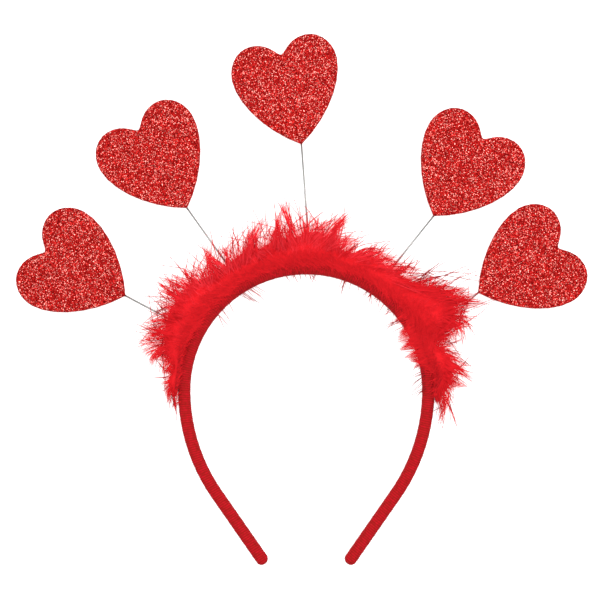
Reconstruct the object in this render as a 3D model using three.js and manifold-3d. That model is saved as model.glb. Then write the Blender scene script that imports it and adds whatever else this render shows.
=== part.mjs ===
// Heart headband: a ribbon-wound head band, a feather trim along its crown, and glitter hearts on wire stems.
// It lies on its back edge. Millimetres, +Z up off the surface, +Y towards the crown, and the origin on the
// surface under the middle of the whole headband.
import * as THREE from "three";
import { mergeVertices } from "three/addons/utils/BufferGeometryUtils.js";
import Module from "manifold-3d";

const wasm = await Module();
wasm.setup();

// Driving dimensions, in millimetres and degrees
const GAP = 0.3; // clearance between neighbouring pieces
const BAND = {
  crownRadius: 61, // centreline of the half circle over the head
  legRadius: 91, // centreline of the gentler bend below it
  legTurn: 34.8, // how far each leg turns in below the half circle
  legLength: 42.4, // straight end of each leg, to its rounded tip
  thickness: 6.2, // from the head outwards
  width: 8, // from the back edge to the front edge
  corner: 2.2, // rounding of the wound section
  station: 7, // step between sections along the band
  cornerShares: [0, 0.5, 1], // points round each corner of the section
  tipShares: [1, 0.92, 0.7, 0.4], // sections along the rounding of each tip
  tipEnd: 0.12, // size of the last section of a tip
};
const WIRE = { diameter: 0.9, sides: 12, inBand: 2.2, inHeart: 9 };
const HEART = {
  width: 53.7,
  height: 53.2, // tip to the top of the lobes
  widest: 38.5, // height of the widest place above the tip
  notch: 45.9, // height of the notch above the tip
  lobe: 13.9, // top of each lobe, out from the middle
  thickness: 2.4,
  rim: 0.3, // rounding of the cut edge
  segments: 7, // steps along each stretch of the outline
};
// How hard each stretch of the heart's outline is pulled along its tangents, as shares of the sizes above.
const HEART_PULL = {
  tipAcross: 0.57,
  tipUp: 0.25,
  side: 0.68,
  lobe: 0.552, // follows a quarter of an ellipse
  lobeIn: 0.35,
  notchOut: 0.14,
};
const MIDDLE = BAND.width / 2; // height of the stems and hearts above the surface

// Where each straight wire leaves the band, where its heart's tip is, and how the heart leans.
// rootAngle and heartLean are clockwise from straight up; tipX and tipY run from the half circle's centre.
const STEMS = [
  { rootAngle: -62.6, tipX: -90.4, tipY: 47.3, heartLean: -61.2 },
  { rootAngle: -31.6, tipX: -59.6, tipY: 91.1, heartLean: -32 },
  { rootAngle: 1.7, tipX: -2.4, tipY: 123, heartLean: -12.8 },
  { rootAngle: 34.4, tipX: 63.6, tipY: 87.1, heartLean: 32.6 },
  { rootAngle: 67.5, tipX: 85.9, tipY: 48.8, heartLean: 60.6 },
];

// The feather trim, section by section round the crown. angle is clockwise from the top of the crown;
// dense is how far the packed down stands out from the band's centreline, and peak how far the plume tips do;
// lean is how many degrees the plumes lie over along the band, clockwise; spill is how far they fall in past
// the band's inner face.
const TRIM = [
  { angle: -97, dense: 3.6, peak: 7, lean: -65, spill: 0 },
  { angle: -90, dense: 5.5, peak: 10, lean: -55, spill: 0 },
  { angle: -82, dense: 7, peak: 13, lean: -35, spill: 0 },
  { angle: -75, dense: 12.5, peak: 23, lean: -20, spill: 0 },
  { angle: -66, dense: 19, peak: 27, lean: -8, spill: 0 },
  { angle: -56, dense: 20.5, peak: 26, lean: 0, spill: 0 },
  { angle: -44, dense: 19.5, peak: 26, lean: 4, spill: 0 },
  { angle: -32, dense: 16.5, peak: 25, lean: -6, spill: 0 },
  { angle: -22, dense: 17.5, peak: 24.5, lean: 6, spill: 0 },
  { angle: -12, dense: 18, peak: 25.5, lean: -8, spill: 0 },
  { angle: -3, dense: 21, peak: 29.5, lean: -6, spill: 0 },
  { angle: 8, dense: 19.5, peak: 30.5, lean: 12, spill: 0 },
  { angle: 17, dense: 14, peak: 20, lean: 16, spill: 0 },
  { angle: 28, dense: 17, peak: 21, lean: 14, spill: 0 },
  { angle: 38, dense: 16.5, peak: 21, lean: 10, spill: 0 },
  { angle: 48, dense: 20, peak: 26, lean: 20, spill: 0 },
  { angle: 58, dense: 27, peak: 34, lean: 8, spill: 3 },
  { angle: 64, dense: 23, peak: 33, lean: 4, spill: 6 },
  { angle: 70, dense: 11, peak: 20, lean: 12, spill: 6 },
  { angle: 77, dense: 13, peak: 18, lean: 20, spill: 4 },
  { angle: 85, dense: 13.5, peak: 20, lean: 35, spill: 0 },
  { angle: 92, dense: 8, peak: 14, lean: 55, spill: 0 },
  { angle: 99, dense: 3.6, peak: 8, lean: 65, spill: 0 },
];
const DOWN = {
  lap: 1.8, // how far in over the band's front edge the packed down reaches
  lapRise: 0.35, // height of that edge, as a share of the height over the band
  inside: 0.5, // where the section closes, hidden in the band's own section
  rise: 0.56, // height of the packed down over the band, for each millimetre that it stands out
  step: 4.4, // degrees between sections of the packed down
};
// Rounded outside of the packed down: out as a share of dense, high as a share of the full height.
const DOWN_PROFILE = [
  { out: 0.82, high: 0 },
  { out: 0.98, high: 0.16 },
  { out: 0.92, high: 0.48 },
  { out: 0.7, high: 0.82 },
  { out: 0.42, high: 1 },
  { out: 0.2, high: 0.94 },
];
const PLUME = {
  step: 8.6, // degrees between rows of plumes
  fan: [8, 36, 68, 98], // directions of one row's plumes, up from straight out
  halfWidth: 4.6, // along the band
  halfDepth: 2.8,
  sides: 4,
  sag: 0.2, // how far a plume bends over, as a share of its length
  droop: 0.6, // how far that bend is downwards
  rise: 5, // how far the plumes on top reach over the packed down
  rootIn: 2, // least distance of a plume's root from the band's centreline
  rootOut: 0.35, // and how much further it is on thick down, as a share of dense
  rootHigh: 0.45, // height of a root over the stems, as a share of the full height
  fanScatter: 8, // degrees
  leanScatter: 14, // degrees
  lengthScatter: 0.12,
};
// Width of a plume along its length, from its root to its tip.
const PLUME_SHAPE = [
  { along: 0, swell: 0.75 },
  { along: 0.5, swell: 1 },
  { along: 1, swell: 0.16 },
];
// Plumes that fall over the band's front edge: where they spring, and how far they sway along the band.
const SPILL = { least: 1, rootOut: 4.5, rootHigh: 3.2, reach: 5, sway: 0.5 };

const FINISHES = {
  ribbon: { color: 0xbe1c26, roughness: 0.85, metalness: 0 },
  down: { color: 0xe6242f, roughness: 0.9, metalness: 0 },
  glitter: { color: 0xc8403e, roughness: 0.35, metalness: 0.4 },
  wire: { color: 0xc4c4c2, roughness: 0.3, metalness: 1 },
};

const WELD = 1e-3; // points closer than this are one point
const UP = new THREE.Vector3(0, 0, 1);
const radians = THREE.MathUtils.degToRad;
const lerp = THREE.MathUtils.lerp;

// Solids from closed geometry, and back

function solidOf(geometry) {
  const bare = geometry.clone();
  bare.deleteAttribute("normal");
  bare.deleteAttribute("uv");
  const merged = mergeVertices(bare, WELD);
  return new wasm.Manifold(
    new wasm.Mesh({
      numProp: 3,
      vertProperties: merged.attributes.position.array,
      triVerts: new Uint32Array(merged.index.array),
    }),
  );
}

function geometryOf(solid) {
  const { vertProperties, triVerts } = solid.getMesh();
  const geometry = new THREE.BufferGeometry();
  geometry.setAttribute("position", new THREE.BufferAttribute(vertProperties, 3));
  geometry.setIndex(new THREE.BufferAttribute(triVerts, 1));
  geometry.computeVertexNormals();
  return geometry;
}

// The largest connected body of a solid, without the crumbs that a cut leaves behind.
function largestBody(solid) {
  return solid.decompose().sort((a, b) => b.volume() - a.volume())[0];
}

// A closed skin through rings of points that all run the same way round, seen from the last ring.
function loft(rings) {
  const sides = rings[0].length;
  const positions = rings.flat().flatMap((p) => [p.x, p.y, p.z]);
  const index = [];
  for (let ring = 0; ring + 1 < rings.length; ring++) {
    for (let i = 0; i < sides; i++) {
      const a = ring * sides + i;
      const b = ring * sides + ((i + 1) % sides);
      index.push(a, b, b + sides, a, b + sides, a + sides);
    }
  }
  const last = (rings.length - 1) * sides;
  for (let i = 1; i + 1 < sides; i++) {
    index.push(0, i + 1, i);
    index.push(last, last + i, last + i + 1);
  }
  const geometry = new THREE.BufferGeometry();
  geometry.setAttribute("position", new THREE.Float32BufferAttribute(positions, 3));
  geometry.setIndex(index);
  return geometry;
}

// The band's centreline

const QUARTER = (BAND.crownRadius * Math.PI) / 2;
const LEG_BEND = BAND.legRadius * radians(BAND.legTurn);
const HALF_LENGTH = QUARTER + LEG_BEND + BAND.legLength;

// Distance along the centreline from the top of the crown to an angle round the centre of the half circle.
function distanceAt(angle) {
  const beyond = Math.max(Math.abs(angle) - 90, 0);
  const along = radians(Math.abs(angle) - beyond) * BAND.crownRadius + radians(beyond) * BAND.legRadius;
  return Math.sign(angle) * along;
}

// Place on the centreline, with the outward and the clockwise directions there.
function bandFrame(distance) {
  const side = Math.sign(distance) || 1;
  const s = Math.abs(distance);
  const onLeg = s > QUARTER;
  const bend = Math.min(s - QUARTER, LEG_BEND);
  const turn = onLeg ? Math.PI / 2 + bend / BAND.legRadius : s / BAND.crownRadius;
  const radius = onLeg ? BAND.legRadius : BAND.crownRadius;
  const out = new THREE.Vector3(side * Math.sin(turn), Math.cos(turn), 0);
  const along = new THREE.Vector3(Math.cos(turn), -side * Math.sin(turn), 0);
  const point = out.clone().multiplyScalar(radius);
  point.x += side * (BAND.crownRadius - radius);
  const straight = Math.max(s - QUARTER - LEG_BEND, 0);
  point.addScaledVector(along, side * straight);
  return { point, out, along };
}

// A point by its distance out from the centreline and its height above the surface.
function across(frame, out, height) {
  return frame.point.clone().addScaledVector(frame.out, out).addScaledVector(UP, height);
}

// The wound band

// Rounded section as [out, height from the middle], shrunk for the tips.
function bandSection(grow, shrink) {
  const halfThick = BAND.thickness / 2 + grow;
  const halfWide = BAND.width / 2 + grow;
  const corner = BAND.corner + grow;
  const points = [];
  for (let quarter = 0; quarter < 4; quarter++) {
    for (const share of BAND.cornerShares) {
      const turn = ((quarter + share) * Math.PI) / 2;
      const cornerOut = quarter === 0 || quarter === 3 ? halfThick - corner : corner - halfThick;
      const cornerHigh = quarter < 2 ? halfWide - corner : corner - halfWide;
      const out = cornerOut + corner * Math.cos(turn);
      const high = cornerHigh + corner * Math.sin(turn);
      points.push([out * shrink, high * shrink]);
    }
  }
  return points;
}

// The band, or its outline grown by a clearance.
function bandSolid(grow = 0) {
  const rounding = BAND.thickness / 2;
  const steps = Math.round((2 * (HALF_LENGTH - rounding)) / BAND.station);
  const shoulder = HALF_LENGTH - rounding;
  const rightTip = BAND.tipShares.map((share) => ({
    distance: shoulder + share * rounding + grow,
    shrink: Math.max(Math.sqrt(1 - share * share), BAND.tipEnd),
  }));
  const leftTip = rightTip.map(({ distance, shrink }) => ({ distance: -distance, shrink }));
  const body = [];
  for (let i = 0; i <= steps; i++) {
    body.push({ distance: lerp(-shoulder, shoulder, i / steps), shrink: 1 });
  }
  const stations = [...leftTip, ...body, ...rightTip.reverse()];
  const rings = stations.map(({ distance, shrink }) => {
    const frame = bandFrame(distance);
    return bandSection(grow, shrink).map(([out, high]) => across(frame, out, MIDDLE + high));
  });
  return solidOf(loft(rings));
}

// Wire stems

// A stem, or the hole that clears it, from inside the band to inside the heart.
function stemGeometry({ rootAngle, tipX, tipY }, grow = 0) {
  const face = across(bandFrame(distanceAt(rootAngle)), BAND.thickness / 2, MIDDLE);
  const tip = new THREE.Vector3(tipX, tipY, MIDDLE);
  const away = tip.clone().sub(face).normalize();
  const start = face.addScaledVector(away, -WIRE.inBand - grow);
  const end = tip.addScaledVector(away, WIRE.inHeart + grow);
  const section = new THREE.Shape();
  section.absarc(0, 0, WIRE.diameter / 2 + grow, 0, 2 * Math.PI);
  return new THREE.ExtrudeGeometry(section, {
    extrudePath: new THREE.LineCurve3(start, end),
    steps: 1,
    curveSegments: WIRE.sides / 2,
  });
}

// Glitter hearts

// Outline with its tip at the origin: a full side, a round lobe, the notch, and the same again mirrored.
function heartShape() {
  const { height, widest, notch, lobe } = HEART;
  const half = HEART.width / 2;
  const pull = HEART_PULL;
  const shoulder = widest + pull.lobe * (height - widest);
  const crest = lobe + pull.lobe * (half - lobe);
  const tipX = pull.tipAcross * half;
  const tipY = pull.tipUp * widest;
  const shape = new THREE.Shape();
  shape.moveTo(0, 0);
  shape.bezierCurveTo(tipX, tipY, half, pull.side * widest, half, widest);
  shape.bezierCurveTo(half, shoulder, crest, height, lobe, height);
  shape.bezierCurveTo(pull.lobeIn * lobe, height, pull.notchOut * lobe, notch, 0, notch);
  shape.bezierCurveTo(-pull.notchOut * lobe, notch, -pull.lobeIn * lobe, height, -lobe, height);
  shape.bezierCurveTo(-crest, height, -half, shoulder, -half, widest);
  shape.bezierCurveTo(-half, pull.side * widest, -tipX, tipY, 0, 0);
  return shape;
}

function heartGeometry() {
  const geometry = new THREE.ExtrudeGeometry(heartShape(), {
    depth: HEART.thickness - 2 * HEART.rim,
    curveSegments: HEART.segments,
    bevelThickness: HEART.rim,
    bevelSize: HEART.rim,
    bevelOffset: -HEART.rim,
    bevelSegments: 1,
  });
  return geometry.translate(0, 0, HEART.rim - HEART.thickness / 2);
}

// One heart at its tip, with the socket that its wire is pushed into.
function heartMesh(name, stem) {
  const mesh = namedMesh(name, heartGeometry(), FINISHES.glitter);
  mesh.position.set(stem.tipX, stem.tipY, MIDDLE);
  mesh.rotation.z = -radians(stem.heartLean);
  mesh.updateMatrix();
  const socket = stemGeometry(stem, GAP).applyMatrix4(mesh.matrix.clone().invert());
  mesh.geometry = geometryOf(largestBody(solidOf(mesh.geometry).subtract(solidOf(socket))));
  return mesh;
}

// Feather trim

// The trim's sizes at any angle, between the rows of the table.
function trimAt(angle) {
  const after = TRIM.findIndex((row) => row.angle >= angle);
  const high = TRIM[Math.max(after, 1)];
  const low = TRIM[Math.max(after, 1) - 1];
  const share = (angle - low.angle) / (high.angle - low.angle);
  const row = { angle };
  for (const column of ["dense", "peak", "lean", "spill"]) {
    row[column] = lerp(low[column], high[column], share);
  }
  row.top = BAND.width + DOWN.rise * row.dense;
  return row;
}

// A repeatable scatter between -1 and 1, different for each pair of numbers.
function scatter(a, b) {
  const wave = Math.sin(a * 12.9898 + b * 78.233) * 43758.5453;
  return 2 * (wave - Math.floor(wave)) - 1;
}

// Section of the packed down: over the band's front edge, along its outer face, flat on the surface.
function downSection(row) {
  const frame = bandFrame(distanceAt(row.angle));
  const lapEdge = BAND.thickness / 2 - DOWN.lap;
  return [
    across(frame, DOWN.inside, 0),
    ...DOWN_PROFILE.map(({ out, high }) => across(frame, out * row.dense, high * row.top)),
    across(frame, lapEdge, lerp(BAND.width, row.top, DOWN.lapRise)),
    across(frame, DOWN.inside, MIDDLE),
  ];
}

function packedDown() {
  const first = TRIM[0].angle;
  const last = TRIM[TRIM.length - 1].angle;
  const steps = Math.round((last - first) / DOWN.step);
  const rings = [];
  for (let i = 0; i <= steps; i++) {
    rings.push(downSection(trimAt(lerp(first, last, i / steps))));
  }
  return solidOf(loft(rings));
}

// One plume: a flattened lock that bends over and closes to a fine tip.
function plume(root, direction, along, bend, length) {
  const flat = new THREE.Vector3().crossVectors(direction, along).normalize();
  const side = new THREE.Vector3().crossVectors(flat, direction);
  const rings = PLUME_SHAPE.map(({ along: t, swell }) => {
    const centre = root.clone().addScaledVector(direction, length * t);
    centre.addScaledVector(bend, PLUME.sag * length * t * t);
    return Array.from({ length: PLUME.sides }, (_, i) => {
      const turn = (2 * Math.PI * i) / PLUME.sides;
      const wide = PLUME.halfWidth * swell * Math.cos(turn);
      const deep = PLUME.halfDepth * swell * Math.sin(turn);
      return centre.clone().addScaledVector(side, wide).addScaledVector(flat, deep);
    });
  });
  return solidOf(loft(rings));
}

// One row of plumes, fanned from straight out to over the top.
function plumeRow(angle, count) {
  const row = trimAt(angle);
  const frame = bandFrame(distanceAt(angle));
  const rootOut = PLUME.rootOut * row.dense;
  const rootHigh = PLUME.rootHigh * row.top;
  return PLUME.fan.map((raise, i) => {
    const fan = radians(raise + PLUME.fanScatter * scatter(count, i));
    const lean = radians(row.lean + PLUME.leanScatter * scatter(i, count + 0.5));
    const direction = frame.out.clone().multiplyScalar(Math.cos(lean));
    direction.addScaledVector(frame.along, Math.sin(lean)).multiplyScalar(Math.cos(fan));
    direction.addScaledVector(UP, Math.sin(fan));
    const root = across(frame, PLUME.rootIn + rootOut * Math.cos(fan), MIDDLE + rootHigh * Math.sin(fan));
    const outward = (row.peak - rootOut - PLUME.rootIn) * Math.cos(fan);
    const upward = (row.top - rootHigh + PLUME.rise - MIDDLE) * Math.sin(fan);
    const shorter = PLUME.lengthScatter * Math.abs(scatter(count, i + PLUME.fan.length));
    const sway = scatter(count, i + 2 * PLUME.fan.length);
    const bend = frame.along.clone().multiplyScalar(sway).addScaledVector(UP, -PLUME.droop).normalize();
    return plume(root, direction, frame.along, bend, Math.hypot(outward, upward) * (1 - shorter));
  });
}

// A plume that falls over the band's front edge, towards the head.
function spilledPlume(angle, count) {
  const frame = bandFrame(distanceAt(angle));
  const length = BAND.thickness / 2 + trimAt(angle).spill + SPILL.reach;
  const root = across(frame, SPILL.rootOut, BAND.width + SPILL.rootHigh);
  const direction = frame.out.clone().negate().addScaledVector(frame.along, SPILL.sway * scatter(count, 1));
  return plume(root, direction.normalize(), frame.along, UP.clone().negate(), length);
}

// The whole trim as one body, cut clear of the band and the stems and pressed flat on the surface.
function trimSolid(bandClearance, stemClearances) {
  const first = TRIM[0].angle + PLUME.step / 2;
  const rows = Math.floor((TRIM[TRIM.length - 1].angle - first) / PLUME.step);
  const locks = [];
  for (let i = 0; i <= rows; i++) {
    const angle = first + i * PLUME.step;
    locks.push(...plumeRow(angle, i));
    if (trimAt(angle).spill > SPILL.least) locks.push(spilledPlume(angle, i));
  }
  const spread = 6 * BAND.crownRadius;
  const below = new THREE.BoxGeometry(spread, spread, BAND.width).translate(0, 0, -BAND.width / 2);
  const whole = locks.reduce((trim, lock) => trim.add(lock), packedDown());
  const tools = [bandClearance, ...stemClearances, solidOf(below)];
  return largestBody(tools.reduce((trim, tool) => trim.subtract(tool), whole));
}

// Assembly

function namedMesh(name, geometry, finish) {
  const mesh = new THREE.Mesh(geometry, new THREE.MeshStandardMaterial(finish));
  mesh.name = name;
  return mesh;
}

const holes = STEMS.map((stem) => solidOf(stemGeometry(stem, GAP)));
const drilledBand = holes.reduce((band, hole) => band.subtract(hole), bandSolid());

const laid = new THREE.Group();
laid.add(namedMesh("band", geometryOf(drilledBand), FINISHES.ribbon));
laid.add(namedMesh("feather_trim", geometryOf(trimSolid(bandSolid(GAP), holes)), FINISHES.down));
STEMS.forEach((stem, i) => {
  laid.add(namedMesh(`stem_${i + 1}`, stemGeometry(stem), FINISHES.wire));
  laid.add(heartMesh(`heart_${i + 1}`, stem));
});

// The origin moves from the centre of the half circle to under the middle of the whole headband.
const bounds = new THREE.Box3().setFromObject(laid, true);
const middle = bounds.getCenter(new THREE.Vector3());
laid.position.set(-middle.x, -middle.y, -bounds.min.z);

const headband = new THREE.Group();
headband.add(laid);
export default headband;
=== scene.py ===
"""Heart headband: ribbon-wound band, marabou trim and glitter hearts on steel wires, on a pale floor."""
import math

import bpy
import numpy as np
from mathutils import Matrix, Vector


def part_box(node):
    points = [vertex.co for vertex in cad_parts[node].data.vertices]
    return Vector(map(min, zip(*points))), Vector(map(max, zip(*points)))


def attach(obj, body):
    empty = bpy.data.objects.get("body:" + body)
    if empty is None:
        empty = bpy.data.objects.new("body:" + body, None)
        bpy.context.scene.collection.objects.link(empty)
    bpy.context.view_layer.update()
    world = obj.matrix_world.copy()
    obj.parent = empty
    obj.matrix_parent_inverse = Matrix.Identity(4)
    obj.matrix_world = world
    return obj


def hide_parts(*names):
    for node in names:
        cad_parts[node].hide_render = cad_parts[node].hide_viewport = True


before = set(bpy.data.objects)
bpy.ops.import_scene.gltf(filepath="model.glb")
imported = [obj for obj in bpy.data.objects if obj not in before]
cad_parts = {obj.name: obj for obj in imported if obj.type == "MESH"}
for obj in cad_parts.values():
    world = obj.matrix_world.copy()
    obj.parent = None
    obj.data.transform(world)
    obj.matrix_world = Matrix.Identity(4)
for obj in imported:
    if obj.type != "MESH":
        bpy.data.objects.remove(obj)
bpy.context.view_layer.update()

MM = 0.001  # lengths are in metres
MERGE = 0.01 * MM  # corners closer than this are one corner

# The band, with the sizes of the part. Its place comes from the frame.
CROWN_RADIUS = 61 * MM
LEG_RADIUS = 91 * MM
LEG_TURN = math.radians(34.8)
LEG_LENGTH = 42.4 * MM
BAND_THICK = 6.2 * MM
BAND_LOW, BAND_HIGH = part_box("band")
BAND_WIDE = BAND_HIGH[2] - BAND_LOW[2]
MIDDLE = (BAND_HIGH[2] + BAND_LOW[2]) / 2
CROWN_X = (BAND_LOW[0] + BAND_HIGH[0]) / 2
CROWN_Y = BAND_HIGH[1] - CROWN_RADIUS - BAND_THICK / 2
QUARTER = CROWN_RADIUS * math.pi / 2
LEG_BEND = LEG_RADIUS * LEG_TURN
HALF_LENGTH = QUARTER + LEG_BEND + LEG_LENGTH

STEMS = 5
HEARTS = 5

# Feather trim, section by section: degrees clockwise from the top of the crown, then millimetres from the
# band's centreline to the edge of the packed down and to the plume tips, degrees of lean along the band, and
# millimetres that plumes fall in past the band's inner face.
TRIM_COLUMNS = ("angle", "dense", "peak", "lean", "spill")
TRIM = np.array([
    (-95, 3.2, 5.5, -22, 0),
    (-91, 6.5, 11.5, -20, 0),
    (-86, 9.5, 16, -16, 0),
    (-81, 6.5, 12, -12, 0),
    (-79, 7.5, 16, -8, 0),
    (-75, 13, 25, -10, 0),
    (-70, 17.5, 28, -14, 0),
    (-66, 19, 28, -16, 0),
    (-56, 20.5, 27, -8, 0),
    (-47, 21, 27, 4, 0),
    (-40, 15.5, 27, 6, 0),
    (-32, 15, 26, 6, 0),
    (-23, 18, 26, 12, 0),
    (-19, 15.5, 26, 4, 0),
    (-12, 18, 27, -6, 0),
    (-6, 18.5, 34, -8, 0),
    (-3, 18.5, 29, -4, 0),
    (1, 21.5, 28, 2, 0),
    (6, 19, 26, 8, 0),
    (9.5, 19, 35, 14, 0),
    (13, 14, 26, 18, 0),
    (17, 12.5, 20, 24, 0),
    (26, 16, 18.5, 26, 0),
    (37, 14.5, 18.5, 26, 0),
    (45, 17, 22, 22, 0),
    (50, 22, 29, 14, 0),
    (57, 28, 35, 8, 2),
    (62, 28, 35, 4, 4),
    (66, 23, 35, 8, 4.5),
    (68, 11, 30, 12, 4.5),
    (71, 8.5, 20, 10, 4),
    (74, 12.5, 18, 16, 3.5),
    (77, 14, 20, 24, 3),
    (82, 16, 23, 30, 0),
    (87, 12, 17, 30, 0),
    (92, 4, 8, 28, 0),
])


# Helpers

def linear(code):
    """An sRGB hex colour as linear RGBA."""
    channels = [int(code[i:i + 2], 16) / 255 for i in (0, 2, 4)]
    return (*[c / 12.92 if c <= 0.04045 else ((c + 0.055) / 1.055) ** 2.4 for c in channels], 1)


def add_node(tree, kind, inputs=None, **settings):
    """Adds a node with its settings; each input gets a value or a link from another node's output."""
    made = tree.nodes.new(kind)
    for name, value in settings.items():
        setattr(made, name, value)
    for socket, value in (inputs or {}).items():
        if isinstance(value, bpy.types.NodeSocket):
            tree.links.new(value, made.inputs[socket])
        else:
            made.inputs[socket].default_value = value
    return made


def new_material(name):
    """An empty material and its node tree."""
    material = bpy.data.materials.new(name)
    material.use_nodes = True
    material.node_tree.nodes.clear()
    return material, material.node_tree


def finish_material(tree, inputs):
    """Closes a material with its surface shader."""
    shader = add_node(tree, "ShaderNodeBsdfPrincipled", inputs)
    add_node(tree, "ShaderNodeOutputMaterial", {"Surface": shader.outputs["BSDF"]})


def set_ramp(ramp, stops):
    """Gives a colour ramp its stops, each a share from 0 to 1 and an sRGB colour."""
    elements = ramp.color_ramp.elements
    while len(elements) < len(stops):
        elements.new(0.5)
    for element, (share, code) in zip(elements, stops):
        element.position = share
        element.color = linear(code)


def set_values(mesh, name, values, domain="POINT"):
    """Gives a mesh a named value at each corner or on each face, for its material to read."""
    mesh.attributes.new(name, "FLOAT", domain).data.foreach_set("value", values)


def only(piece):
    """Makes a piece the one selected and active object."""
    bpy.ops.object.select_all(action="DESELECT")
    piece.select_set(True)
    bpy.context.view_layer.objects.active = piece


def solid_copy(node, name):
    """A copy of a CAD node's mesh as a piece of its own, with its corners merged."""
    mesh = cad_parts[node].data.copy()
    mesh.name = name
    mesh.materials.clear()
    piece = bpy.data.objects.new(name, mesh)
    bpy.context.collection.objects.link(piece)
    only(piece)
    bpy.ops.object.mode_set(mode="EDIT")
    bpy.ops.mesh.select_all(action="SELECT")
    bpy.ops.mesh.remove_doubles(threshold=MERGE)
    bpy.ops.object.mode_set(mode="OBJECT")
    return piece


def flat_sheet(name, rows, columns):
    """A flat grid, with the places of its corners from -1 to 1 along it and across it."""
    bpy.ops.object.select_all(action="DESELECT")
    bpy.ops.mesh.primitive_grid_add(x_subdivisions=rows, y_subdivisions=columns, size=2, calc_uvs=True)
    sheet = bpy.context.object
    sheet.name = sheet.data.name = name
    corners = np.empty(len(sheet.data.vertices) * 3)
    sheet.data.vertices.foreach_get("co", corners)
    along, across, _ = corners.reshape(-1, 3).T
    return sheet, along, across


def wrap(sheet, points):
    """Wraps a flat sheet to points round the band, closes its seam and its ends, and smooths it."""
    sheet.data.vertices.foreach_set("co", points.ravel())
    only(sheet)
    bpy.ops.object.mode_set(mode="EDIT")
    bpy.ops.mesh.select_all(action="SELECT")
    bpy.ops.mesh.remove_doubles(threshold=MERGE)
    bpy.ops.mesh.normals_make_consistent(inside=False)
    bpy.ops.object.mode_set(mode="OBJECT")
    bpy.ops.object.shade_smooth()


def seat(piece, slot, *nodes):
    """Lets a finished piece ride on the headband and stand for its CAD nodes."""
    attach(piece, "root")
    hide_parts(*nodes)


def band_frame(distance):
    """Centreline points at distances from the crown's top, with the outward direction there."""
    side = np.where(distance < 0, -1.0, 1.0)
    run = np.abs(distance)
    on_leg = run > QUARTER
    bend = np.minimum(run - QUARTER, LEG_BEND) / LEG_RADIUS
    turn = np.where(on_leg, math.pi / 2 + bend, run / CROWN_RADIUS)
    radius = np.where(on_leg, LEG_RADIUS, CROWN_RADIUS)
    straight = np.maximum(run - QUARTER - LEG_BEND, 0)
    flat = np.zeros_like(run)
    out = np.stack([side * np.sin(turn), np.cos(turn), flat], -1)
    clockwise = np.stack([np.cos(turn), -side * np.sin(turn), flat], -1)
    point = out * radius[..., None] + clockwise * (side * straight)[..., None]
    point[..., 0] += side * (CROWN_RADIUS - radius) + CROWN_X
    point[..., 1] += CROWN_Y
    return point, out


def place(distance, out_by, high):
    """World points from distances along the band, distances out from its centreline and heights."""
    point, out = band_frame(distance)
    spot = point + out * out_by[..., None]
    spot[..., 2] = high
    return spot


def distance_at(angle):
    """Distance along the centreline to an angle round the crown, in degrees."""
    beyond = np.maximum(np.abs(angle) - 90, 0)
    crown = np.radians(np.abs(angle) - beyond) * CROWN_RADIUS
    return np.sign(angle) * (crown + np.radians(beyond) * LEG_RADIUS)


def angle_at(distance):
    """Angle round the crown, in degrees, at a distance along the centreline."""
    run = np.abs(distance)
    beyond = np.maximum(run - QUARTER, 0)
    return np.sign(distance) * np.degrees((run - beyond) / CROWN_RADIUS + beyond / LEG_RADIUS)


def between(rng, low, high, count, power=1):
    """Random values from low to high, crowded towards low where the power is over one."""
    return low + (high - low) * rng.random(count) ** power


# Materials

RIBBON_MOTTLE = 1.6 * MM
FOAM_CELL = 0.8 * MM  # real cells are about 0.3 mm; drawn coarser so that they show
WIRE_WEAR = 2 * MM


def ribbon_material():
    """Polyester ribbon, woven with ribs: matte mottled red, with painted shade in the grooves between the
    ribs.
    """
    material, tree = new_material("ribbed_polyester_ribbon")
    where = add_node(tree, "ShaderNodeTexCoord").outputs["Object"]
    patch = add_node(tree, "ShaderNodeTexNoise", {"Vector": where, "Scale": 1 / RIBBON_MOTTLE, "Detail": 3.0})
    tone = add_node(tree, "ShaderNodeValToRGB", {"Fac": patch.outputs["Fac"]})
    set_ramp(tone, [(0.3, "881712"), (0.7, "B4111F")])
    painted_groove_shade = add_node(tree, "ShaderNodeAttribute", attribute_name="painted_groove_shade_mask")
    # Painted shade: the red darkens towards 780D0F in the grooves between the ribs.
    shade = add_node(tree, "ShaderNodeMix", {
        "Factor": painted_groove_shade.outputs["Fac"], "A": linear("780D0F"), "B": tone.outputs["Color"],
    }, data_type="RGBA")
    finish_material(tree, {
        "Base Color": shade.outputs["Result"], "Roughness": 0.85, "Specular IOR Level": 0.05,
    })
    return material


def down_material():
    """Dyed marabou down: matte saturated red; its tone runs from painted shade, near black red on thin loose
    barbs, to painted light, pinkish where palest.
    """
    material, tree = new_material("dyed_marabou_down")
    tone = add_node(tree, "ShaderNodeAttribute", attribute_name="tone")
    colour = add_node(tree, "ShaderNodeValToRGB", {"Fac": tone.outputs["Fac"]})
    set_ramp(colour, [
        (0.0, "3C080C"), (0.16, "C0151C"), (0.4, "CD181F"), (0.7, "D71D26"), (1.0, "E9353F"),
    ])
    finish_material(tree, {
        "Base Color": colour.outputs["Color"], "Roughness": 0.8, "Specular IOR Level": 0.08,
    })
    return material


def glitter_material():
    """Glitter on craft foam: tiny tilted flakes of red film, a little metallic, some dark, some pale pink as
    painted glints.
    """
    material, tree = new_material("red_glitter_foam")
    flake = add_node(tree, "ShaderNodeAttribute", attribute_name="flake")
    colour = add_node(tree, "ShaderNodeValToRGB", {"Fac": flake.outputs["Fac"]})
    # The pale pink last stop paints glints on the few flakes with the highest values.
    set_ramp(colour, [
        (0.0, "3E0203"), (0.25, "650908"), (0.7, "901312"), (0.9, "AE2623"), (1.0, "F9A79C"),
    ])
    finish_material(tree, {
        "Base Color": colour.outputs["Color"], "Metallic": 0.3, "Roughness": 0.36, "Specular IOR Level": 0.0,
    })
    return material


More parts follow.
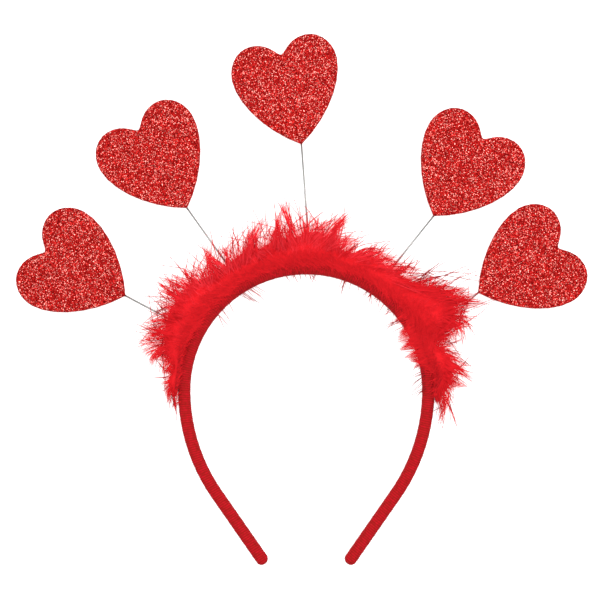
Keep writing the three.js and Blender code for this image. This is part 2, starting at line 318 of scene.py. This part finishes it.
def foam_material():
    """Cut edge of the craft foam: plain matte red with fine open cells."""
    material, tree = new_material("craft_foam_edge")
    where = add_node(tree, "ShaderNodeTexCoord").outputs["Object"]
    cells = add_node(tree, "ShaderNodeTexNoise", {"Vector": where, "Scale": 1 / FOAM_CELL, "Detail": 2.0})
    colour = add_node(tree, "ShaderNodeValToRGB", {"Fac": cells.outputs["Fac"]})
    set_ramp(colour, [(0.3, "A0181A"), (0.7, "C42628")])
    finish_material(tree, {"Base Color": colour.outputs["Color"], "Roughness": 0.75})
    return material


def wire_material():
    """Drawn steel wire: grey and smooth, its polish a little uneven."""
    material, tree = new_material("drawn_steel_wire")
    where = add_node(tree, "ShaderNodeTexCoord").outputs["Object"]
    wear = add_node(tree, "ShaderNodeTexNoise", {"Vector": where, "Scale": 1 / WIRE_WEAR, "Detail": 3.0})
    polish = add_node(tree, "ShaderNodeMapRange", {
        "Value": wear.outputs["Fac"], "To Min": 0.4, "To Max": 0.55,
    })
    finish_material(tree, {
        "Base Color": linear("8E8E8C"), "Metallic": 1.0, "Roughness": polish.outputs["Result"],
    })
    return material


# Ribbon-wound band

WRAP_PITCH = 5 * MM  # each turn of ribbon shows this much before the next one covers it
WRAP_STEP = 0.12 * MM  # thickness of the ribbon's edge
WRAP_EDGE = 8  # how many times steeper the edge falls than the turn rises
RIB_PITCH = 1.15 * MM
RIB_DEPTH = 0.14 * MM
RIB_SLANT = 0.6  # ribs' shift along the band in half a turn, in pitches
RIBBON_PROUD = 0.14 * MM  # the top of the ribbon stands this far over the CAD band
BAND_STATION = 0.28 * MM  # from one row of points to the next
BAND_ROUND = 26  # points round the section
SECTION_POWER = 2.7  # between an ellipse and a rectangle


def wound_relief(distance, turn):
    """How far laps and ribs lie below the top of the ribbon, no two turns of it quite alike."""
    uneven = 0.1 * np.sin(distance / (17 * MM)) + 0.07 * np.sin(distance / (7.3 * MM) + 1)
    phase = (distance / WRAP_PITCH + turn / (2 * math.pi) + uneven) % 1.0
    step = np.minimum(phase, (1 - phase) * WRAP_EDGE)
    rib = 0.5 + 0.5 * np.cos(2 * math.pi * (distance / RIB_PITCH + RIB_SLANT * turn / math.pi))
    return WRAP_STEP * (1 - step), RIB_DEPTH * rib


def rounded(wave):
    """A sine or cosine that is squared off to the band's section."""
    return np.sign(wave) * np.abs(wave) ** (2 / SECTION_POWER)


def wound_band():
    """A sheet of ribbon surface wrapped round the centreline and closed at both tips."""
    band, along, across = flat_sheet("wound_band", int(2 * HALF_LENGTH / BAND_STATION), BAND_ROUND)
    distance = along * HALF_LENGTH
    turn = across * math.pi
    tip = np.clip(1 - (HALF_LENGTH - np.abs(distance)) / (BAND_THICK / 2), 0, 1)
    shrink = np.sqrt(1 - tip ** 2)
    lap, rib = wound_relief(distance, turn)
    inward = lap + rib - RIBBON_PROUD
    out_by = rounded(np.cos(turn)) * (BAND_THICK / 2 - inward) * shrink
    high = MIDDLE + rounded(np.sin(turn)) * (BAND_WIDE / 2 - inward) * shrink
    # Painted shade mask: low in the grooves between the ribs, where the ribbon's material darkens the red.
    set_values(band.data, "painted_groove_shade_mask", np.clip(1.15 - rib / RIB_DEPTH, 0, 1))
    wrap(band, place(distance, out_by, high))
    band.data.materials.append(ribbon_material())
    seat(band, "ribbon", "band")


# Glitter hearts

FLAKE = 0.4 * MM  # real flakes are about 0.2 mm; drawn coarser so that they show
FLAKE_TILT = 0.1 * MM
FLAKE_SEED = 5
EDGE_NORMAL = 0.45  # a face whose normal rises less than this is on the cut edge


def glitter_heart(number, finishes, rng):
    """A copy of the cut heart, its skin broken up into tilted flakes."""
    node = f"heart_{number}"
    heart = solid_copy(node, f"glitter_{node}")
    heart.data.remesh_voxel_size = FLAKE
    bpy.ops.object.voxel_remesh()
    mesh = heart.data
    bpy.ops.object.mode_set(mode="EDIT")
    bpy.ops.mesh.select_all(action="SELECT")
    bpy.ops.transform.vertex_random(offset=FLAKE_TILT, uniform=1.0, normal=0.0, seed=number)
    bpy.ops.mesh.quads_convert_to_tris(quad_method="SHORTEST_DIAGONAL")
    bpy.ops.object.mode_set(mode="OBJECT")
    for finish in finishes:
        mesh.materials.append(finish)
    normals = np.empty(len(mesh.polygons) * 3)
    mesh.polygons.foreach_get("normal", normals)
    edge = np.abs(normals.reshape(-1, 3)[:, 2]) < EDGE_NORMAL
    mesh.polygons.foreach_set("material_index", edge.astype(np.int32))
    mesh.polygons.foreach_set("use_smooth", np.zeros(len(mesh.polygons), bool))
    # A random tone for each flake; the highest values get the painted glints.
    set_values(mesh, "flake", rng.random(len(mesh.polygons)), "FACE")
    seat(heart, "glitter", node)


# Steel stems

ROUND_UNDER = math.radians(40)  # facets that meet at less than this are one round surface


def steel_stem(number, finish):
    """A drawn wire, round to the eye."""
    stem = solid_copy(f"stem_{number}", f"steel_stem_{number}")
    bpy.ops.object.shade_smooth_by_angle(angle=ROUND_UNDER)
    stem.data.materials.append(finish)
    seat(stem, "wire", f"stem_{number}")


# Marabou trim

TRIM_SEED = 14
FLUFF_STRANDS = 22000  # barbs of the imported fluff
TUFT_STRANDS = 7600  # barbs of the pointed tufts that stand out of its edge
LAP_STRANDS = 4000  # barbs lying in over the front of the band
SPILL_STRANDS = 1100  # barbs of the tufts that fall in past the band
FLYAWAYS = 380  # single loose barbs
HANGING = 36  # long barbs hanging beside the legs, a third of them on the left
FLUFF_LOCKS = 620
POINTED_TUFTS = 130
SPILL_TUFTS = 16
SPILL_ANGLES = (50, 84)  # degrees round the crown
STRAY_SHARE = 0.03  # share of the fluff's barbs that stick out of it
STRAND_RADIUS = 0.1 * MM  # real barbs are far finer; drawn thicker and fewer so that they cover and show
STRAND_SIDES = 3
STRAND_STEPS = (0.0, 0.36, 0.7)  # sections along a strand before its point
STRAND_WIDTHS = (0.8, 1.0, 0.7)
STRAND_CORNERS = STRAND_SIDES * len(STRAND_STEPS) + 1
# Painted shade: each strand starts darker at its root, deep among the other barbs.
ROOT_TONE = 0.55  # a strand's tone at its root, and how much it gains along its length
TONE_GAIN = 0.6
TRIM_PIECES = 4
FLUFF_RISE = 0.44  # height of the fluff over the band's front for each millimetre of its depth
CORE_HIGH = 5.5 * MM  # centre of the fluff's section, above the floor
CORE_OUT = 4.2 * MM  # and at least this far out from the band's centreline
CORE_SHARE = 0.34  # or at this share of the fluff's depth, where that is further out
LEAST_REACH = 0.6 * MM  # from that centre to the fluff's outer edge
BARE_UNDER = 2 * MM  # fluff less deep than this has no barbs
END_MARGIN = 0.5  # degrees at each end of the trim where no lock starts
STEEPEST_LEAN = 1.1  # radians
EDGE_SHARE = 0.7  # where the fluff gives way to tips, as a share of the way to its edge
FLOOR_CLEAR = 0.25 * MM
SIDE_CLEAR = 0.2 * MM  # between the barbs and the band's inner and outer faces
FRONT_CLEAR = 0.3 * MM  # between the barbs and the band's front
# The fluff covers the front of the band to this many millimetres from the centreline, less at its two ends.
INNER_ANGLES = (-68, -54, 70, 80)
INNER_EDGE = (2.4, 1.1, 1.1, 2.4)

# The cord of packed quills and down inside the fluff. It fills a share of it, more at its outer edge and over
# the band.
CORD_ROWS = 160
CORD_ROUND = 14
CORD_MIDDLE = 1  # degrees from the top of the crown
CORD_REACH = 93  # degrees to each side
CORD_TAPER = 0.04  # share of its half length in which it closes to a point
CORD_SHARE = 0.66
CORD_OUTER = 0.1
CORD_INNER = 0.19
CORD_TONE = 0.3
CORD_TUCK = 0.1 * MM  # pressed this far into the ribbon
CORD_CLEAR = 0.6 * MM  # off the floor

# Painted shade on the down's red: degrees round the crown, millimetres in which it fades outwards from the
# band, and tone at the band.
PAINTED_SHADE_ANGLES = (-82, -62, 64, 74, 86)
PAINTED_SHADE_DEPTH = (12, 7, 7, 9, 20)
PAINTED_SHADE_TONE = (0.36, 0.72, 0.9, 0.72, 0.4)
FULL_TONE = 0.95  # away from the band
# Painted light on the crown's outer edge, which lifts the fluff's outer slope out of its shade: degrees round
# it, added tone, and millimetres from the centreline where it starts and is full.
PAINTED_LIGHT_ANGLES = (-62, -45, 30, 42)
PAINTED_LIGHT_TONE = (0, 0.6, 0.6, 0)
PAINTED_LIGHT_START = 9 * MM
PAINTED_LIGHT_FULL = 14 * MM

# Loose wisps that hang in past the band: degrees round the crown, millimetres in from the inner face, and
# millimetres that they drift clockwise.
WISPS = np.array([
    (-48, 8, -3),
    (-34, 11, 9),
    (-30, 8, 6),
    (-10, 4, 2),
    (2, 4, 3),
    (20, 6, 1),
    (31, 6, 4),
    (36, 4, 3),
    (46, 5, 2),
    (54, 9, -1),
    (80, 6, 5),
    (87, 8, 9),
])
WISP_BARBS = 6


def trim_at(angle):
    """The trim's sizes at angles round the crown, in metres and radians, between the rows of the table."""
    sizes = {name: np.interp(angle, TRIM[:, 0], TRIM[:, i]) for i, name in enumerate(TRIM_COLUMNS)}
    for name in ("dense", "peak", "spill"):
        sizes[name] = sizes[name] * MM
    sizes["inner"] = np.interp(angle, INNER_ANGLES, INNER_EDGE) * MM
    sway = 9 * np.sin(angle / 2.3) + 6 * np.sin(angle / 1.1 + 1)
    sizes["lean"] = np.radians(sizes["lean"] + sway)
    return sizes


def spread_angles(rng, count, power=1.0):
    """Angles round the crown, closer together where the fluff is deeper."""
    fine = np.linspace(TRIM[0, 0] + END_MARGIN, TRIM[-1, 0] - END_MARGIN, 800)
    weight = (trim_at(fine)["dense"] - BARE_UNDER) ** power
    share = np.cumsum(weight) / weight.sum()
    return np.interp((np.arange(count) + rng.random(count)) / count, share, fine)


def section_point(sizes, lift, share):
    """A point of the fluff's section: how far out and how high it lies, at a share of the way to the skin."""
    middle = np.maximum(CORE_OUT, CORE_SHARE * sizes["dense"])
    reach_out = np.maximum(sizes["dense"] - middle, LEAST_REACH)
    reach_in = middle - sizes["inner"]
    reach_up = BAND_WIDE + FLUFF_RISE * sizes["dense"] - CORE_HIGH
    across = np.where(np.cos(lift) > 0, reach_out, reach_in)
    reach = 1 / np.sqrt((np.cos(lift) / across) ** 2 + (np.sin(lift) / reach_up) ** 2)
    out_by = middle + share * reach * np.cos(lift)
    high = CORE_HIGH + share * reach * np.sin(lift)
    return out_by, high


def leaning(lean, length):
    """How far along the band a barb of some length drifts by leaning."""
    return np.tan(np.clip(lean, -STEEPEST_LEAN, STEEPEST_LEAN)) * np.maximum(length, 0)


def fluff(rng):
    """Guide points of the fluff's barbs, which leave the cord in locks and comb outwards towards the tips."""
    count = FLUFF_STRANDS
    lock = rng.integers(0, FLUFF_LOCKS, count)
    lock_angle = spread_angles(rng, FLUFF_LOCKS)[lock]
    lock_lift = np.radians(between(rng, -16, 132, FLUFF_LOCKS, 1.5))[lock]
    lock_lean = np.radians(rng.normal(0, 12, FLUFF_LOCKS))[lock]
    pull = between(rng, 0.2, 0.8, FLUFF_LOCKS)[lock]
    angle = lock_angle + rng.normal(0, 2.6, count)
    lift = lock_lift + np.radians(rng.normal(0, 17, count))
    sizes = trim_at(angle)
    start = between(rng, 0.15, 0.6, count)
    stray = rng.random(count) < STRAY_SHARE
    stray_end = between(rng, EDGE_SHARE, sizes["peak"] / sizes["dense"], count)
    skin = between(rng, 0.66, 0.92, count)
    packed_end = np.minimum(start + between(rng, 0.35, 0.55, count), skin)
    end = np.where(stray, stray_end, packed_end)
    ahead = distance_at(angle)
    tip_lift = lift + (lock_lift - lift) * pull
    length = sizes["dense"] * (end - start) * np.cos(tip_lift)
    drift = leaning(sizes["lean"] + lock_lean, length)
    tip_ahead = distance_at(angle + (lock_angle - angle) * pull) + drift
    comb = np.radians(20) * np.clip(np.sin(tip_lift), 0, 1)
    out_a, high_a = section_point(sizes, lift, start)
    out_b, high_b = section_point(sizes, lift + np.radians(6), 0.5 * (start + end))
    out_c, high_c = section_point(trim_at(angle_at(tip_ahead)), tip_lift - comb, end)
    first = place(ahead, out_a, high_a)
    middle = place(0.62 * ahead + 0.38 * tip_ahead, out_b, high_b) + rng.normal(0, 0.35 * MM, (count, 3))
    last = place(tip_ahead, out_c, high_c) + rng.normal(0, 0.5 * MM, (count, 3))
    return first, middle, last, angle


def pointed_tufts(rng):
    """Guide points of tufts whose barbs draw together, like a wet paintbrush, past the edge of the fluff."""
    count = TUFT_STRANDS
    tuft = rng.integers(0, POINTED_TUFTS, count)
    tuft_angle = spread_angles(rng, POINTED_TUFTS, 0.6)[tuft]
    tuft_lift = np.radians(between(rng, 4, 62, POINTED_TUFTS, 1.4))[tuft]
    tuft_lean = np.radians(rng.normal(0, 8, POINTED_TUFTS))[tuft]
    tuft_reach = between(rng, 0.65, 1.3, POINTED_TUFTS)[tuft]
    tuft_wide = between(rng, 0.7, 2.2, POINTED_TUFTS)[tuft]
    tuft_curl = (rng.normal(0, 0.9, POINTED_TUFTS) * MM)[tuft]
    angle = tuft_angle + rng.normal(0, 1, count) * tuft_wide
    sizes = trim_at(angle)
    lift = tuft_lift + np.radians(rng.normal(0, 12, count))
    start = between(rng, 0.4, 0.75, count)
    own = np.minimum(rng.exponential(0.62, count), 1.1)
    close = 0.15 + 0.7 * own
    ahead = distance_at(angle)
    length = (sizes["peak"] * tuft_reach * own + (EDGE_SHARE - start) * sizes["dense"]) * 0.6
    drift = leaning(sizes["lean"] + tuft_lean, length)
    tip_ahead = distance_at(angle + (tuft_angle - angle) * close) + drift
    tip_sizes = trim_at(0.5 * (angle + angle_at(tip_ahead)))
    end = EDGE_SHARE + (1.2 * tip_sizes["peak"] / tip_sizes["dense"] - EDGE_SHARE) * tuft_reach * own
    out_a, high_a = section_point(sizes, lift, start)
    out_b, high_b = section_point(sizes, 0.5 * (lift + tuft_lift), 0.5 * (start + end))
    out_c, high_c = section_point(tip_sizes, lift + (tuft_lift - lift) * close, end)
    first = place(ahead, out_a, high_a)
    middle = place(0.6 * ahead + 0.4 * tip_ahead + tuft_curl, out_b, high_b)
    middle += rng.normal(0, 0.25 * MM, (count, 3))
    last = place(tip_ahead, out_c, high_c) + rng.normal(0, 0.3 * MM, (count, 3))
    return first, middle, last, angle


def lapping(rng):
    """Guide points of barbs that slant in over the front of the band and lie down on it."""
    count = LAP_STRANDS
    angle = spread_angles(rng, count, 0.5)
    sizes = trim_at(angle)
    ahead = distance_at(angle)
    out_a = np.maximum(between(rng, 0.2, 0.5, count) * sizes["dense"], between(rng, 3.3, 4.5, count) * MM)
    high_a = BAND_WIDE + between(rng, 0.16, 0.368, count) * sizes["dense"]
    wave = 0.7 * np.sin(angle / 3.1) + 0.5 * np.sin(angle / 1.3 + 2)
    ragged = rng.normal(0, 0.5, count) - 3.5 * rng.random(count) ** 7
    out_c = sizes["inner"] + (wave + ragged) * MM
    high_c = BAND_WIDE + between(rng, 0.35, 1.15, count) * MM
    drift = rng.normal(0.3, 0.2, count) * sizes["dense"]
    first = place(ahead, out_a, high_a)
    middle = place(ahead + 0.4 * drift, 0.45 * out_a + 0.55 * out_c, 0.5 * (high_a + high_c) + 1.2 * MM)
    last = place(ahead + drift, out_c, high_c)
    return first, middle, last, angle


def spilling(rng):
    """Guide points of the tufts that fall in over the band and past its inner face."""
    count = SPILL_STRANDS
    fine = np.linspace(*SPILL_ANGLES, 200)
    share = np.cumsum(trim_at(fine)["spill"])
    tuft = rng.integers(0, SPILL_TUFTS, count)
    spread = (np.arange(SPILL_TUFTS) + rng.random(SPILL_TUFTS)) / SPILL_TUFTS
    tuft_angle = np.interp(spread, share / share[-1], fine)[tuft]
    tuft_reach = between(rng, 0.55, 1.3, SPILL_TUFTS)[tuft]
    tuft_drift = (rng.normal(0.5, 2.5, SPILL_TUFTS) * MM)[tuft]
    angle = tuft_angle + rng.normal(0, 2, count)
    sizes = trim_at(angle)
    own = np.minimum(rng.exponential(0.5, count), 1.1)
    ahead = distance_at(angle)
    out_a = between(rng, 0.5, 6, count) * MM
    high_a = BAND_WIDE + between(rng, 1, 4.5, count) * MM
    out_c = -BAND_THICK / 2 + 2.5 * MM - (sizes["spill"] + 3.5 * MM) * own * tuft_reach
    high_c = np.where(out_c > -BAND_THICK / 2, BAND_WIDE + 0.6 * MM, between(rng, 2, 8.5, count) * MM)
    tip_ahead = distance_at(angle + (tuft_angle - angle) * 0.8 * own) + tuft_drift * own
    first = place(ahead, out_a, high_a)
    high_b = BAND_WIDE + between(rng, 1, 2.5, count) * MM
    middle = place(0.6 * ahead + 0.4 * tip_ahead, 0.4 * out_a + 0.6 * out_c, high_b)
    last = place(tip_ahead, out_c, high_c)
    return first, middle, last, angle


def wisps(rng):
    """Guide points of the loose barbs that hang in past the band here and there."""
    middle_angle, deep, sideways = np.repeat(WISPS, WISP_BARBS, axis=0).T
    count = len(middle_angle)
    angle = middle_angle + rng.normal(0, 2.4, count)
    share = between(rng, 0.45, 1.2, count)
    far = deep * share * MM
    ahead = distance_at(angle)
    drift = (sideways * share + rng.normal(0, 2.4, count)) * MM
    root_out = np.full(count, -1.4 * MM)
    first = place(ahead, root_out, BAND_WIDE + 0.5 * MM)
    middle = place(ahead + 0.3 * drift, -BAND_THICK / 2 - 0.4 * far, BAND_WIDE + MM)
    last = place(ahead + drift, -BAND_THICK / 2 - 1.3 * far, between(rng, 3, 7, count) * MM)
    return first, middle, last, angle


def flyaways(rng):
    """Guide points of single fine barbs that stray well out of the fluff."""
    count = FLYAWAYS
    angle = spread_angles(rng, count, 0.6)
    sizes = trim_at(angle)
    lift = np.radians(between(rng, -8, 37, count))
    ahead = distance_at(angle)
    drift = leaning(sizes["lean"] + np.radians(rng.normal(0, 24, count)), sizes["peak"] * 0.5)
    tip_sizes = trim_at(angle_at(ahead + drift))
    far = tip_sizes["peak"] / tip_sizes["dense"] * between(rng, 0.95, 2, count, 2)
    out_a, high_a = section_point(sizes, lift, np.ones(count))
    out_c, high_c = section_point(tip_sizes, 0.6 * lift, far)
    curl = rng.normal(0, 1.1, count) * MM
    first = place(ahead, out_a, high_a)
    middle = place(ahead + 0.3 * drift + curl, 0.5 * (out_a + out_c), 0.5 * (high_a + high_c) + 0.6 * MM)
    last = place(ahead + drift, out_c, high_c)
    return first, middle, last, angle


def hanging(rng):
    """Guide points of the long barbs that hang down beside the legs, longer and wider spread on the right."""
    count = HANGING
    left = count // 3
    side = np.repeat([-1.0, 1.0], (left, count - left))
    longest = np.where(side > 0, 20, 11)
    outermost = np.where(side > 0, 10.8, 6.8)
    angle = side * between(rng, 84, 95, count)
    ahead = distance_at(angle)
    fall = side * longest * between(rng, 0.25, 1, count, 1.5) * MM
    out_a = between(rng, 3.8, outermost, count) * MM
    out_c = out_a + rng.normal(2.5, 3.5, count) * MM
    high = between(rng, 1, 8, count) * MM
    curl = rng.normal(1.5, 1.2, count) * MM
    first = place(ahead, out_a, high)
    middle = place(ahead + 0.5 * fall, 0.5 * (out_a + out_c) + curl, high + MM)
    last = place(ahead + fall, out_c, 0.7 * high)
    return first, middle, last, angle


# Kinds of barb: what lays them out, then thickness, tone and the tip's tone, as multiples of the common ones.
# Painted light brightens the thick tufts against the shade among them. Painted shade darkens their tips and
# the loose barbs, which miss the light that the packed fluff scatters, and a little the barbs that lie on the
# band.
BARB_KINDS = (
    (fluff, 1.0, 1.0, 1.2),
    (pointed_tufts, 1.3, 1.35, 0.3),
    (lapping, 0.9, 0.9, 1.2),
    (spilling, 1.1, 0.9, 0.9),
    (wisps, 1.7, 0.2, 0.6),
    (flyaways, 1.8, 0.2, 0.6),
    (hanging, 1.7, 0.4, 0.6),
)


def shading(angle, out_by):
    """Painted light and shade on the down's red: shade by the band and at the trim's ends, light at the
    crown's edge.
    """
    depth = np.interp(angle, PAINTED_SHADE_ANGLES, PAINTED_SHADE_DEPTH) * MM
    shaded_tone = np.interp(angle, PAINTED_SHADE_ANGLES, PAINTED_SHADE_TONE)
    painted_light = np.interp(angle, PAINTED_LIGHT_ANGLES, PAINTED_LIGHT_TONE)
    near = np.clip((out_by - MM) / depth, 0, 1)
    far = np.clip((out_by - PAINTED_LIGHT_START) / (PAINTED_LIGHT_FULL - PAINTED_LIGHT_START), 0, 1)
    return shaded_tone + (FULL_TONE - shaded_tone) * near + painted_light * far


def clear_of_neighbours(points):
    """Lifts points off the floor, and points inside the band to its front."""
    points[:, 2] = np.maximum(points[:, 2], FLOOR_CLEAR)
    across = points[:, 0] - CROWN_X
    up = np.maximum(points[:, 1] - CROWN_Y, 0)
    from_band = np.abs(np.hypot(across, up) - CROWN_RADIUS)
    front = BAND_WIDE + FRONT_CLEAR
    inside = (from_band < BAND_THICK / 2 + SIDE_CLEAR) & (points[:, 2] < front)
    points[inside, 2] = front


def strand_corners(first, middle, last, radius):
    """Corners of tapering strands, each with a flat side up, which takes the light from the front evenly."""
    direction = last - first
    direction /= np.maximum(np.linalg.norm(direction, axis=1, keepdims=True), 1e-9)
    upright = np.abs(direction[:, 2:3]) > 0.9
    side = np.cross(direction, np.where(upright, [[1.0, 0, 0]], [[0, 0, 1.0]]))
    side /= np.linalg.norm(side, axis=1, keepdims=True)
    below = np.cross(direction, side)
    corners = np.empty((len(first), STRAND_CORNERS, 3))
    for ring, (t, width) in enumerate(zip(STRAND_STEPS, STRAND_WIDTHS)):
        centre = first * (1 - t) ** 2 + middle * 2 * t * (1 - t) + last * t ** 2
        for corner in range(STRAND_SIDES):
            turn = 2 * math.pi * corner / STRAND_SIDES - math.pi / 6
            offset = side * math.cos(turn) + below * math.sin(turn)
            corners[:, STRAND_SIDES * ring + corner] = centre + offset * (radius * width)[:, None]
    corners[:, -1] = last
    return corners


def strand_tones(tone, tip_tone):
    """Tone at each corner of the strands, darker at the root with painted shade and going over to the tip's
    own tone.
    """
    tones = np.empty((len(tone), STRAND_CORNERS))
    for ring, t in enumerate(STRAND_STEPS):
        shaft = tone * (ROOT_TONE + TONE_GAIN * t)
        corner = STRAND_SIDES * ring
        tones[:, corner:corner + STRAND_SIDES] = (shaft * (1 - t * t) + tip_tone * t * t)[:, None]
    tones[:, -1] = tip_tone
    return np.clip(tones, 0, 1)


def strand_faces():
    """Triangles of one closed strand: its root, its sides and its point."""
    faces = [(0, 2, 1)]
    last_ring = STRAND_SIDES * (len(STRAND_STEPS) - 1)
    for corner in range(STRAND_SIDES):
        beside = (corner + 1) % STRAND_SIDES
        for ring in range(0, last_ring, STRAND_SIDES):
            a, b = ring + corner, ring + beside
            faces += [(a, b, b + STRAND_SIDES), (a, b + STRAND_SIDES, a + STRAND_SIDES)]
        faces.append((last_ring + corner, last_ring + beside, STRAND_CORNERS - 1))
    return np.array(faces)


def joined_strands(name, corners, tones):
    """One joined mesh of many strands."""
    count = len(corners)
    starts = np.arange(count) * STRAND_CORNERS
    index = (strand_faces()[None] + starts[:, None, None]).reshape(-1)
    mesh = bpy.data.meshes.new(name)
    mesh.vertices.add(count * STRAND_CORNERS)
    mesh.vertices.foreach_set("co", corners.ravel())
    mesh.loops.add(len(index))
    mesh.loops.foreach_set("vertex_index", index)
    mesh.polygons.add(len(index) // 3)
    mesh.polygons.foreach_set("loop_start", np.arange(0, len(index), 3))
    set_values(mesh, "tone", tones.ravel())
    mesh.update(calc_edges=True)
    mesh.validate()
    mesh.polygons.foreach_set("use_smooth", np.zeros(len(mesh.polygons), bool))
    piece = bpy.data.objects.new(name, mesh)
    bpy.context.collection.objects.link(piece)
    return piece


def marabou_cord(finish):
    """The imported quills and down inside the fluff, which no light comes through."""
    cord, along, across = flat_sheet("marabou_cord", CORD_ROWS, CORD_ROUND)
    angle = CORD_MIDDLE + along * CORD_REACH
    lift = across * math.pi
    taper = np.sqrt(np.clip((1 - np.abs(along)) / CORD_TAPER, 0, 1))
    outer = np.maximum(np.cos(lift), 0)
    inner = np.clip(-np.cos(lift) / 0.7, 0, 1)
    share = (CORD_SHARE + CORD_OUTER * outer + CORD_INNER * inner) * taper
    out_by, high = section_point(trim_at(angle), lift, share)
    outer_face = BAND_THICK / 2 - CORD_TUCK
    front = BAND_WIDE + FRONT_CLEAR
    over_band = (out_by < outer_face) & (high > 0.7 * BAND_WIDE)
    high = np.where(over_band, np.maximum(high, front), high)
    out_by = np.where(high < front, np.maximum(out_by, outer_face), out_by)
    # The cord gets the same painted shade and painted light as the barbs.
    set_values(cord.data, "tone", CORD_TONE * shading(angle, out_by))
    wrap(cord, place(distance_at(angle), out_by, np.maximum(high, CORD_CLEAR)))
    cord.data.materials.append(finish)
    seat(cord, "down", "feather_trim")


def marabou_trim():
    """The cord and all the barbs, joined into a few pieces along the crown."""
    rng = np.random.default_rng(TRIM_SEED)
    finish = down_material()
    marabou_cord(finish)
    layouts, *factors = zip(*BARB_KINDS)
    groups = [layout(rng) for layout in layouts]
    first, middle, last, angle = (np.concatenate(parts) for parts in zip(*groups))
    counts = [len(group[0]) for group in groups]
    thick, light, tip_light = (np.repeat(factor, counts) for factor in factors)
    for points in (first, middle, last):
        clear_of_neighbours(points)
    total = len(first)
    radius = STRAND_RADIUS * thick * between(rng, 0.7, 1.3, total)
    from_band = np.hypot(last[:, 0] - CROWN_X, last[:, 1] - CROWN_Y) - CROWN_RADIUS
    # Painted shadow streaks: random powers that deepen the painted shade near the band more on some barbs
    # than on others.
    painted_shadow_streaks = between(rng, 0.4, 2, total)
    # Each barb's random tone, times its painted light and the painted light and shade from shading().
    tone = light * between(rng, 0.3, 0.8, total) * shading(angle, from_band) ** painted_shadow_streaks
    corners = strand_corners(first, middle, last, radius)
    tones = strand_tones(tone, tip_light * tone)
    limits = np.quantile(angle, np.linspace(0, 1, TRIM_PIECES + 1))
    piece_of = np.clip(np.searchsorted(limits, angle, side="right") - 1, 0, TRIM_PIECES - 1)
    for number in range(TRIM_PIECES):
        mine = piece_of == number
        piece = joined_strands(f"marabou_{number + 1}", corners[mine], tones[mine])
        piece.data.materials.append(finish)
        seat(piece, "down", "feather_trim")


# Stage

FLOOR_SIZE = 6
FLOOR_DROP = 0.1 * MM  # the ribbon stands out about this far under the CAD band
FLOOR_GLOW = 0.3
ROOM_LIGHT = 0.55
SOFTBOX_SIZE = 0.7
# Softboxes: place in metres and power in watts. The strong one stands close to the camera's axis.
SOFTBOXES = {
    "overhead_softbox": ((0.08, 0.06, 1.9), 38),
    "left_softbox": ((-1.1, 0.5, 0.8), 4),
    "back_softbox": ((0.0, 1.3, 0.8), 4),
    "right_softbox": ((1.1, 0.5, 0.8), 4),
}
# The camera looks straight down at the photograph's scale.
MM_PER_PIXEL = 0.5
FRAME_PIXELS = 600
CROWN_PIXEL = (306.3, 390.3)  # where the centre of the crown's half circle falls in the frame
CAMERA_HEIGHT = 1.25


def pale_floor():
    """A matte near-white floor, which glows a little to stay white and to light the down from below."""
    bpy.ops.object.select_all(action="DESELECT")
    bpy.ops.mesh.primitive_plane_add(size=FLOOR_SIZE, location=(0, 0, -FLOOR_DROP))
    floor = bpy.context.object
    floor.name = "floor"
    material, tree = new_material("pale_floor")
    finish_material(tree, {
        "Base Color": linear("F4F4F4"), "Roughness": 0.9, "Specular IOR Level": 0.1,
        "Emission Color": (1, 1, 1, 1), "Emission Strength": FLOOR_GLOW,
    })
    floor.data.materials.append(material)
    return floor


def studio_light(floor):
    """Even white light all round and softboxes that face the floor's middle."""
    world = bpy.data.worlds.new("studio")
    bpy.context.scene.world = world
    world.use_nodes = True
    room = world.node_tree.nodes["Background"].inputs
    room["Color"].default_value = (1, 1, 1, 1)
    room["Strength"].default_value = ROOM_LIGHT
    for name, (spot, power) in SOFTBOXES.items():
        lamp = bpy.data.lights.new(name, "AREA")
        lamp.size = SOFTBOX_SIZE
        lamp.energy = power
        softbox = bpy.data.objects.new(name, lamp)
        softbox.location = spot
        bpy.context.collection.objects.link(softbox)
        aim = softbox.constraints.new("TRACK_TO")
        aim.target = floor
        aim.track_axis = "TRACK_NEGATIVE_Z"
        aim.up_axis = "UP_Y"


def overhead_camera():
    """The camera over the middle of the frame, with the lens that gives the photograph's scale."""
    camera = bpy.data.cameras.new("camera")
    eye = bpy.data.objects.new("camera", camera)
    bpy.context.collection.objects.link(eye)
    middle = FRAME_PIXELS / 2
    eye.location = (
        CROWN_X + (middle - CROWN_PIXEL[0]) * MM_PER_PIXEL * MM,
        CROWN_Y + (CROWN_PIXEL[1] - middle) * MM_PER_PIXEL * MM,
        MIDDLE + CAMERA_HEIGHT,
    )
    camera.lens = camera.sensor_width * CAMERA_HEIGHT / (FRAME_PIXELS * MM_PER_PIXEL * MM)
    bpy.context.scene.camera = eye
    bpy.context.scene.view_settings.view_transform = "Standard"


studio_light(pale_floor())
overhead_camera()
wound_band()
stem_finish = wire_material()
for stem_number in range(1, STEMS + 1):
    steel_stem(stem_number, stem_finish)
flake_rng = np.random.default_rng(FLAKE_SEED)
heart_finishes = (glitter_material(), foam_material())
for heart_number in range(1, HEARTS + 1):
    glitter_heart(heart_number, heart_finishes, flake_rng)
marabou_trim()
